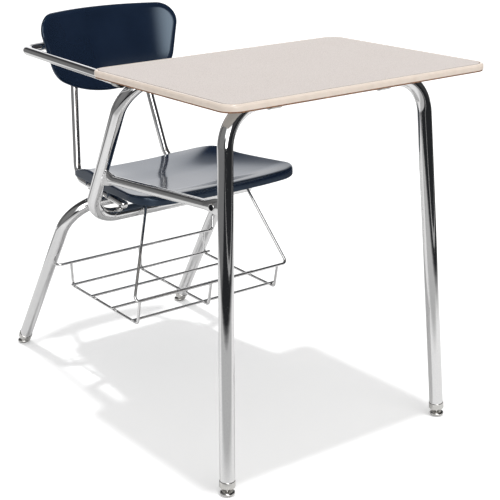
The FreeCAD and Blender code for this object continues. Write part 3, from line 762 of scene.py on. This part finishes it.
# Backrest: a moulded navy shell, hollow toward the sitter, with a rim turned back all round.
# Four bosses on its rear face are screwed to the two back posts.
BACK_TOP_Z = 0.799
BACK_CROWN = 0.004
BACK_BOTTOM_Z = 0.6085
BACK_BOTTOM_RADIUS = 0.274
BACK_HALF_WIDTHS = (0.156, 0.1885)
BACK_CORNERS = (0.062, 0.041)
BACK_HOLLOW = 0.429
BACK_FACE = (0.416253, 0.768)
BACK_LEAN = 0.19
BACK_SKIN = 0.0045
BACK_RIM_DEPTH = 0.010
BACK_RIM_WALL = 0.004
BACK_ROLL = 0.0085
BACK_ROLL_START = math.radians(24)
BACK_ROLL_DEPTH = 0.5
BACK_SHARES = 30
BACK_LIP = ((0, 0.92), (0.2, 1), (0.8, 1), (1, 0.92))
BACK_BOSS_RADIUS = 0.008
BACK_ROUGHNESS = 0.115
BACK_BOSS_HEIGHTS = (0.658, 0.748)


def back_surface(x, z, depth):
    """Where the leaning hollow wall lies, at a depth behind its front face."""
    slope = math.hypot(1, BACK_LEAN)
    radius = BACK_HOLLOW + depth
    reach = math.sqrt(radius * radius - x * x) - BACK_HOLLOW
    return BACK_FACE[0] + BACK_LEAN * (z - BACK_FACE[1]) + slope * reach


def arc_of(centre, radius, start, end):
    """Points and outward normals along an arc, counter-clockwise from one direction to another."""
    turn = (math.atan2(end.y, end.x) - math.atan2(start.y, start.x)) % (2 * math.pi)
    count = max(LEAST_CORNER_STEPS, round(turn * radius / OUTLINE_STEP), round(turn / BEND_STEP / 2))
    arc = []
    for k in range(count + 1):
        angle = math.atan2(start.y, start.x) + turn * k / count
        normal = Vector((math.cos(angle), math.sin(angle)))
        arc.append((centre + normal * radius, normal))
    return arc


def corner_centre(side_foot, inward, ahead, fillet, arc_centre, arc_radius, high):
    """Centre of a corner's round, which touches the straight side and the inside of the arc."""
    from_centre = side_foot + inward * fillet - arc_centre
    along = from_centre.dot(ahead)
    rest = from_centre.length_squared - (arc_radius - fillet) ** 2
    root = math.sqrt(along * along - rest)
    return side_foot + inward * fillet + ahead * (-along + (root if high else -root))


def back_outline():
    """The outline as seen from the front: curved foot, straight sides, crowned head, round corners."""
    waist, shoulder = BACK_HALF_WIDTHS
    foot_centre = Vector((0, BACK_BOTTOM_Z + BACK_BOTTOM_RADIUS))
    waist_z = foot_centre.y - math.sqrt(BACK_BOTTOM_RADIUS**2 - waist**2)
    head_radius = (shoulder**2 + BACK_CROWN**2) / (2 * BACK_CROWN)
    head_centre = Vector((0, BACK_TOP_Z - head_radius))
    side_foot = Vector((waist, waist_z))
    ahead = (Vector((shoulder, BACK_TOP_Z - BACK_CROWN)) - side_foot).normalized()
    inward = Vector((-ahead.y, ahead.x))
    low = corner_centre(side_foot, inward, ahead, BACK_CORNERS[0], foot_centre, BACK_BOTTOM_RADIUS, False)
    high = corner_centre(side_foot, inward, ahead, BACK_CORNERS[1], head_centre, head_radius, True)
    right = arc_of(low, BACK_CORNERS[0], low - foot_centre, -inward)
    side_start, side_end = right[-1][0], high - inward * BACK_CORNERS[1]
    count = max(2, round((side_end - side_start).length / OUTLINE_STEP))
    right += [(side_start.lerp(side_end, k / count), -inward) for k in range(1, count)]
    right += arc_of(high, BACK_CORNERS[1], -inward, high - head_centre)
    left = [(Vector((-spot.x, spot.y)), Vector((-normal.x, normal.y))) for spot, normal in reversed(right)]
    head = arc_of(head_centre, head_radius, right[-1][1], left[0][1])
    foot = arc_of(foot_centre, BACK_BOTTOM_RADIUS, left[-1][1], right[0][1])
    return right + head[1:-1] + left + foot[1:-1]


def back_ring(outline, inset, scale, depth):
    """A ring on the backrest: drawn in, shrunk to the middle, at a depth behind the front face."""
    middle = Vector((0, (BACK_TOP_Z + BACK_BOTTOM_Z) / 2))
    ring = []
    for spot, normal in outline:
        flat = middle + (spot - normal * inset - middle) * scale
        ring.append(Vector((flat.x, back_surface(flat.x, flat.y, depth), flat.y)))
    return ring


def back_rings():
    """Rings from the middle of the front, over the rounded rim, and back into the hollow rear."""
    outline = back_outline()
    scales = [(k + INNER_SHARE) / (BACK_SHARES + INNER_SHARE) for k in range(BACK_SHARES + 1)]
    rings = [back_ring(outline, BACK_ROLL, scale, 0) for scale in scales]
    reach = 1 - math.sin(BACK_ROLL_START)
    for k in range(1, ROLL_STEPS + 1):
        angle = BACK_ROLL_START + (math.pi / 2 - BACK_ROLL_START) * k / ROLL_STEPS
        inset = BACK_ROLL * (1 - math.sin(angle)) / reach
        depth = BACK_ROLL * (math.cos(BACK_ROLL_START) - math.cos(angle)) / reach * BACK_ROLL_DEPTH
        rings.append(back_ring(outline, inset, 1, depth))
    for across, share in BACK_LIP:
        rings.append(back_ring(outline, BACK_RIM_WALL * across, 1, BACK_RIM_DEPTH * share))
    rings += [back_ring(outline, BACK_RIM_WALL, scale, BACK_SKIN) for scale in reversed(scales)]
    return rings


def back_boss(side_sign, z):
    """A round boss from the shell's rear face to the back post."""
    top, base = (Vector(corner) for corner in UPRIGHT_CORNERS[:2])
    spot = base.lerp(top, (z - base.z) / (top.z - base.z))
    x = side_sign * spot.x
    rearward, across = Vector((0, 1, 0)), Vector((1, 0, 0))
    ends = [Vector((x, y, z)) for y in (back_surface(x, z, BACK_SKIN / 2), spot.y)]
    return [ring_at(end, rearward, across, BACK_BOSS_RADIUS, BACK_BOSS_RADIUS, BOSS_SIDES) for end in ends]


back_bosses = [back_boss(side_sign, z) for side_sign in (-1, 1) for z in BACK_BOSS_HEIGHTS]
backrest = skin_mesh("backrest_moulding", [back_rings()] + back_bosses)
backrest.data.materials.append(shell_material("navy_back_moulding", BACK_ROUGHNESS, SHELL_GLOSS))
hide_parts("backrest_shell")
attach(backrest, "frame")

# Book basket: chromed wires resistance-welded where they cross.
# The front frame hangs from the run under the seat; the rear rail's turned ends are welded to the legs.
RAIL_WIRE = 0.003175
LONG_WIRE = 0.003
WIRE_BEND = 0.009
WIRE_SIDES = 24
WIRE_END_ROUND = 0.0008
FRONT_WIRE_CORNERS = (
    (-0.097, 0.10243, 0.41871),
    (-0.203, -0.003747, 0.241),
    (0.203, -0.003747, 0.241),
    (0.162, 0.10243, 0.41871),
)
REAR_WIRE_CORNERS = (
    (-0.222, 0.314253, 0.249),
    (-0.222, 0.291253, 0.249),
    (0.204, 0.291253, 0.249),
    (0.209, 0.296253, 0.283),
)
CROSS_WIRE_X = {"right": -0.190, "middle": -0.007, "left": 0.176}
CROSS_WIRE_LINE = ((0.291253, 0.249), (0.287253, 0.194), (0.008253, 0.187), (-0.003747, 0.241))
LONG_WIRE_Y = {"rear": 0.278753, "mid_rear": 0.191253, "mid_front": 0.103253, "front": 0.017253}
LONG_WIRE_ENDS = (-0.199, 0.185)


def wire_rings(line, radius):
    """Rings along a solid wire whose cut ends are slightly rounded."""
    (first, ahead), (last, onward) = line[0], line[-1]
    start = (first + ahead * WIRE_END_ROUND, ahead)
    end = (last - onward * WIRE_END_ROUND, onward)
    small = radius - WIRE_END_ROUND
    side = Vector(START_SIDE)
    rings = []
    for spot, direction in [start, *line[1:-1], end]:
        side = (side - direction * side.dot(direction)).normalized()
        if not rings:
            rings.append(ring_at(first, direction, side, small, small, WIRE_SIDES))
        rings.append(ring_at(spot, direction, side, radius, radius, WIRE_SIDES))
    rings.append(ring_at(last, onward, side, small, small, WIRE_SIDES))
    return rings


wire_chrome = metal(
    "wire_chrome", dark=(0.70, 0.70, 0.705), light=(0.79, 0.785, 0.78),
    roughness=(0.06, 0.13), polish_scale=700, wave_depth=0.0003,
)


def wire_piece(name, node, corners, radius):
    """One bent wire of the basket, in the place of its solid."""
    piece = skin_mesh(name, [wire_rings(bent_line(corners, WIRE_BEND), radius)])
    piece.data.materials.append(wire_chrome)
    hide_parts(node)
    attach(piece, "frame")


wire_piece("basket_front_wire", "basket_front_frame", FRONT_WIRE_CORNERS, RAIL_WIRE)
wire_piece("basket_rear_wire", "basket_rear_rail", REAR_WIRE_CORNERS, RAIL_WIRE)
for place, x in CROSS_WIRE_X.items():
    corners = [(x, y, z) for y, z in CROSS_WIRE_LINE]
    wire_piece("basket_rib_" + place, "basket_cross_wire_" + place, corners, RAIL_WIRE)
for place, y in LONG_WIRE_Y.items():
    (rear_y, rear_z), (front_y, front_z) = CROSS_WIRE_LINE[1:3]
    z = front_z + (rear_z - front_z) * (y - front_y) / (rear_y - front_y) + RAIL_WIRE + LONG_WIRE
    corners = [(x, y, z) for x in LONG_WIRE_ENDS]
    wire_piece("basket_runner_" + place, "basket_long_wire_" + place, corners, LONG_WIRE)

# Feet: each leg ends in a nickel ferrule with a ball stud, which turns in a nylon insert.
# The insert sits in a pressed nickel base that stands flat on the floor.
FEET = {
    "front_right": ((-0.272, -0.425747, 0), (-0.235, -0.393747, 0.7232)),
    "front_left": ((0.272, -0.425747, 0), (0.235, -0.393747, 0.7232)),
    "rear_right": ((-0.2288, 0.493253, 0), (-0.2169, 0.227753, 0.402)),
    "rear_left": ((0.2288, 0.493253, 0), (0.2169, 0.227753, 0.402)),
}
BALL_HEIGHT = 0.0072
FERRULE_PROFILE = (
    (0.0026, 0), (0.0026, -0.0025), (0.0142, -0.0025), (0.0151, -0.0021), (0.01545, -0.0012),
    (0.01545, 0.0098), (0.0152, 0.0105), (0.01435, 0.0105), (0.01435, 0),
)
TUBE_END_HEIGHT = 0.0187
BASE_PROFILE = (
    (0.0076, 0.0014), (0.0076, 0.0102), (0.0097, 0.0102), (0.0104, 0.0100), (0.0119, 0.0093),
    (0.0133, 0.0081), (0.0143, 0.0067), (0.01475, 0.0052), (0.0143, 0.0036), (0.0131, 0.0019),
    (0.0114, 0.0007), (0.0090, 0),
)
LATHE_SIDES = 56


def lathe(foot, axis, profile):
    """Rings of a turned piece about an axis, from radii and heights along it."""
    side = Vector((1, 0, 0))
    return [ring_at(foot + axis * rise, axis, side, wide, wide, LATHE_SIDES) for wide, rise in profile]


nickel = metal(
    "nickel_ferrule_plate", dark=(0.54, 0.53, 0.51), light=(0.66, 0.65, 0.63),
    roughness=(0.10, 0.19), polish_scale=800, wave_depth=0.0003,
)
nickel_base = metal(
    "nickel_base_plate", dark=(0.50, 0.49, 0.47), light=(0.64, 0.63, 0.61),
    roughness=(0.12, 0.24), polish_scale=700, wave_depth=0.0003,
)


def nylon_material():
    """Ball insert: off-white nylon with moulding mottle."""
    material, shader, place, add, feed = node_kit("nylon_insert")
    mottle = noise_of(add, feed, place, scale=500, detail=3)
    colour = ramp_of(add, feed, mottle, ((0.3, (0.60, 0.58, 0.53)), (0.7, (0.72, 0.70, 0.66))))
    relief = bump_of(add, feed, mottle, strength=0.1, distance=0.0002)
    coat(feed, shader, colour, range_of(add, feed, mottle, onto=(0.38, 0.5)), relief)
    return material


nylon = nylon_material()
for foot_name, (floor_spot, corner) in FEET.items():
    floor_spot, corner = Vector(floor_spot), Vector(corner)
    axis = (corner - floor_spot).normalized()
    tube_end = floor_spot + axis * (TUBE_END_HEIGHT / axis.z)
    ferrule_rings = lathe(tube_end, axis, FERRULE_PROFILE + FERRULE_PROFILE[:1])
    ferrule = band_mesh(foot_name + "_ferrule_cup", ferrule_rings)
    ferrule.data.materials.append(nickel)
    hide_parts(foot_name + "_ferrule")
    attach(ferrule, "frame")

    ball = floor_spot + axis * (BALL_HEIGHT / axis.z)
    stand = Vector((ball.x, ball.y, 0))
    base = skin_mesh(foot_name + "_glide_pad", [lathe(stand, UPWARD, BASE_PROFILE)])
    base.data.materials.append(nickel_base)
    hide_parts(foot_name + "_base")
    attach(base, foot_name + "_glide_base")

    recoat(foot_name + "_stud", nickel)
    recoat(foot_name + "_socket", nylon)

# Floor and light: a white paper floor, grey or dark in reflections away from the desk, in a dark room.
# A soft high light throws the pale shadow, a wide one fills the front, and screens show in the chrome.
FLOOR_REACH = 9.0
PAPER_TOOTH = ((0.2, (0.89, 0.89, 0.89)), (0.8, (0.91, 0.91, 0.91)))
PAPER_LIFT = 0.265
ROOM_FLOOR = (0.02, 0.021, 0.023, 1)
SCREEN_TOWARD = (0.5926, 0.8055, 0)
FRONT_TOWARD = (-0.5926, -0.8055, 0)
LEFT_TOWARD = (-0.8055, 0.5926, 0)
PAPER_TOWARD = (0.197, 0.980, 0)
PAPER_MIDDLE = (-0.12, 0, 0)
PAPER_ROUND = (1.15, 1.8)
PAPER_BACK = (1.3, 2.1)
PAPER_LEFT = (2.0, 4.0)
PAPER_GREYS = ((FRONT_TOWARD, (0.47, 0.80), 0.47), (PAPER_TOWARD, (-0.10, 0.35), 0.15))
LEFT_BOARD = (1.2, 1.75)
LEFT_BOARD_WHITE = 0.18
STRIP_TOWARD = (0.466, -0.885, 0)
STRIP_EDGES = ((1.84, 1.96), (2.16, 2.04))
STRIP_WHITE = 0.42
ROOM_DARK = (0.05, 0.05, 0.053, 1)
CEILING = (0.05, 0.05, 0.05, 1)
CEILING_EDGE = (0.45, 0.75)
SCREEN_WHITE = (1.25, 1.25, 1.27, 1)
BACK_SCREEN = (0.80, 0.93)
SCREEN_BANDS = ((0, 0.8), (0.19, 0.97), (0.32, 1.0), (0.40, 1.0), (0.46, 0.75), (0.53, 0.5), (0.6, 0.12))
PANELS = (
    ((-0.31, -0.945, 0.10), (0.945, 0.995), 5.0),
    ((-0.56, -0.60, 0.57), (0.90, 0.965), 4.0),
    ((-0.97, 0.05, 0.22), (0.60, 0.88), 0.24),
    ((-0.35, 0.935, 0.05), (0.90, 0.995), 0.20),
    ((0.52, 0.60, 0.61), (0.93, 0.985), 0.62),
)
DOME_STRENGTH = 0.63
SUN_STRENGTH = 1.35
SUN_SPREAD = math.radians(3)
SUN_TILT = math.radians(7)
SUN_SPOT = (0, 0, 2)
FILL_STRENGTH = 0.55
FILL_SPREAD = math.radians(50)
FILL_TILT = math.radians(58)
FILL_SPOT = (0, -2, 2)

floor_mesh = bpy.data.meshes.new("paper_floor")
floor_corners = [(x * FLOOR_REACH, y * FLOOR_REACH, 0) for x, y in ((-1, -1), (1, -1), (1, 1), (-1, 1))]
floor_mesh.from_pydata(floor_corners, [], [(0, 1, 2, 3)])
floor = bpy.data.objects.new("paper_floor", floor_mesh)
bpy.context.scene.collection.objects.link(floor)


def sum_of(add, feed, operation, first, second, clamp=False):
    """Two values, or a value and a number, put through one sum."""
    node = add("ShaderNodeMath", operation=operation, use_clamp=clamp)
    feed(first, node.inputs[0])
    feed(second, node.inputs[1])
    return node.outputs["Value"]


def share_along(add, feed, place, toward, span, onto=(0, 1)):
    """How far a place lies along a direction, eased from one end of a span to the other."""
    dot = add("ShaderNodeVectorMath", operation="DOT_PRODUCT")
    feed(toward, dot.inputs[1])
    feed(place, dot.inputs[0])
    return range_of(add, feed, dot.outputs["Value"], span, onto, "SMOOTHSTEP")


def floor_shade(add, feed, place):
    """How dark the floor is to a reflection: paper near and behind, greys on it, boards beyond."""
    distance = add("ShaderNodeVectorMath", operation="DISTANCE")
    feed(PAPER_MIDDLE, distance.inputs[1])
    feed(place, distance.inputs[0])
    beyond = range_of(add, feed, distance.outputs["Value"], PAPER_ROUND, kind="SMOOTHSTEP")
    behind = share_along(add, feed, place, PAPER_TOWARD, PAPER_BACK)
    faded = share_along(add, feed, place, LEFT_TOWARD, PAPER_LEFT, (1, 0))
    board = share_along(add, feed, place, LEFT_TOWARD, LEFT_BOARD, (0, LEFT_BOARD_WHITE))
    begun, ended = (share_along(add, feed, place, STRIP_TOWARD, edge) for edge in STRIP_EDGES)
    strip = sum_of(add, feed, "MULTIPLY", begun, ended)
    strip = sum_of(add, feed, "MULTIPLY", strip, STRIP_WHITE)
    white = sum_of(add, feed, "MULTIPLY", behind, faded)
    for lit in (strip, board):
        white = sum_of(add, feed, "MAXIMUM", white, lit)
    shade = sum_of(add, feed, "SUBTRACT", beyond, white, clamp=True)
    for toward, span, grey in PAPER_GREYS:
        toned = share_along(add, feed, place, toward, span, (0, grey))
        shade = sum_of(add, feed, "MAXIMUM", shade, toned)
    return shade


def floor_material():
    """Paper: matt white with a faint tooth, lifted to white where it is seen directly."""
    material, shader, place, add, feed = node_kit("paper_sweep")
    tooth = noise_of(add, feed, place, scale=260, detail=3)
    feed(ramp_of(add, feed, tooth, PAPER_TOOTH), shader.inputs["Base Color"])
    feed(1, shader.inputs["Roughness"])
    feed(0, shader.inputs["Specular IOR Level"])
    feed((1, 1, 1, 1), shader.inputs["Emission Color"])
    path = add("ShaderNodeLightPath")
    lift = sum_of(add, feed, "MULTIPLY", path.outputs["Is Camera Ray"], PAPER_LIFT)
    feed(lift, shader.inputs["Emission Strength"])
    dark = add("ShaderNodeBsdfDiffuse")
    feed(ROOM_FLOOR, dark.inputs["Color"])
    mix = add("ShaderNodeMixShader")
    shade = floor_shade(add, feed, place)
    feed(sum_of(add, feed, "MULTIPLY", shade, path.outputs["Is Glossy Ray"]), mix.inputs["Fac"])
    feed(shader.outputs["BSDF"], mix.inputs[1])
    feed(dark.outputs["BSDF"], mix.inputs[2])
    feed(mix.outputs["Shader"], material.node_tree.nodes["Material Output"].inputs["Surface"])
    return material


floor.data.materials.append(floor_material())


def studio_world():
    """White seen directly, an even dome for soft light, and for reflections screens in a dark room."""
    world = bpy.data.worlds.new("studio")
    world.use_nodes = True
    add, feed = tree_kit(world.node_tree)
    place = add("ShaderNodeTexCoord").outputs["Generated"]
    split = add("ShaderNodeSeparateXYZ")
    feed(place, split.inputs["Vector"])
    height = split.outputs["Z"]
    bands = ramp_of(add, feed, height, [(rise, (tone, tone, tone)) for rise, tone in SCREEN_BANDS])
    ahead = share_along(add, feed, place, SCREEN_TOWARD, BACK_SCREEN)
    screen = sum_of(add, feed, "MULTIPLY", ahead, bands)
    room = colour_mix(add, feed, screen, ROOM_DARK, SCREEN_WHITE)
    overhead = range_of(add, feed, height, CEILING_EDGE, kind="SMOOTHSTEP")
    room = colour_mix(add, feed, overhead, room, CEILING)
    for direction, edges, white in PANELS:
        panel = share_along(add, feed, place, direction, edges)
        room = colour_mix(add, feed, panel, room, (white, white, white, 1))
    path = add("ShaderNodeLightPath")
    dome = (DOME_STRENGTH, DOME_STRENGTH, DOME_STRENGTH, 1)
    shown = colour_mix(add, feed, path.outputs["Is Glossy Ray"], dome, room)
    shown = colour_mix(add, feed, path.outputs["Is Camera Ray"], shown, (1, 1, 1, 1))
    feed(shown, world.node_tree.nodes["Background"].inputs["Color"])
    return world


def wide_light(name, strength, spread, tilt, spot):
    """A distant light that leans toward the front by its tilt and is softened by its spread."""
    data = bpy.data.lights.new(name, "SUN")
    data.energy = strength
    data.angle = spread
    light = bpy.data.objects.new(name, data)
    light.rotation_euler = (tilt, 0, 0)
    light.location = spot
    bpy.context.scene.collection.objects.link(light)
    return light


bpy.context.scene.world = studio_world()
wide_light("high_soft_light", SUN_STRENGTH, SUN_SPREAD, SUN_TILT, SUN_SPOT)
fill = wide_light("front_fill_light", FILL_STRENGTH, FILL_SPREAD, FILL_TILT, FILL_SPOT)
fill.visible_glossy = False

# Camera: stands before the sitter's right front leg, a little above the top, as in the picture.
# A long lens keeps the legs nearly parallel.
CAMERA_SPOT = (-1.446, -2.105747, 1.165)
CAMERA_HEADING = math.radians(53.66)
CAMERA_PITCH = math.radians(18.47)
CAMERA_ROLL = math.radians(-0.97)
CAMERA_LENS = 89.21
CAMERA_SENSOR = 36

camera_data = bpy.data.cameras.new("studio_camera")
camera_data.lens = CAMERA_LENS
camera_data.sensor_width = CAMERA_SENSOR
camera = bpy.data.objects.new("studio_camera", camera_data)
camera_right = Vector((math.sin(CAMERA_HEADING), -math.cos(CAMERA_HEADING), 0))
camera_ahead = Vector((
    math.cos(CAMERA_HEADING) * math.cos(CAMERA_PITCH),
    math.sin(CAMERA_HEADING) * math.cos(CAMERA_PITCH),
    -math.sin(CAMERA_PITCH),
))
camera_up = camera_right.cross(camera_ahead)
level = camera_right * math.cos(CAMERA_ROLL) + camera_up * math.sin(CAMERA_ROLL)
plumb = camera_up * math.cos(CAMERA_ROLL) - camera_right * math.sin(CAMERA_ROLL)
camera_turn = Matrix((level, plumb, -camera_ahead)).transposed().to_4x4()
camera.matrix_world = Matrix.Translation(CAMERA_SPOT) @ camera_turn
bpy.context.scene.collection.objects.link(camera)
bpy.context.scene.camera = camera
bpy.context.scene.view_settings.view_transform = "Standard"
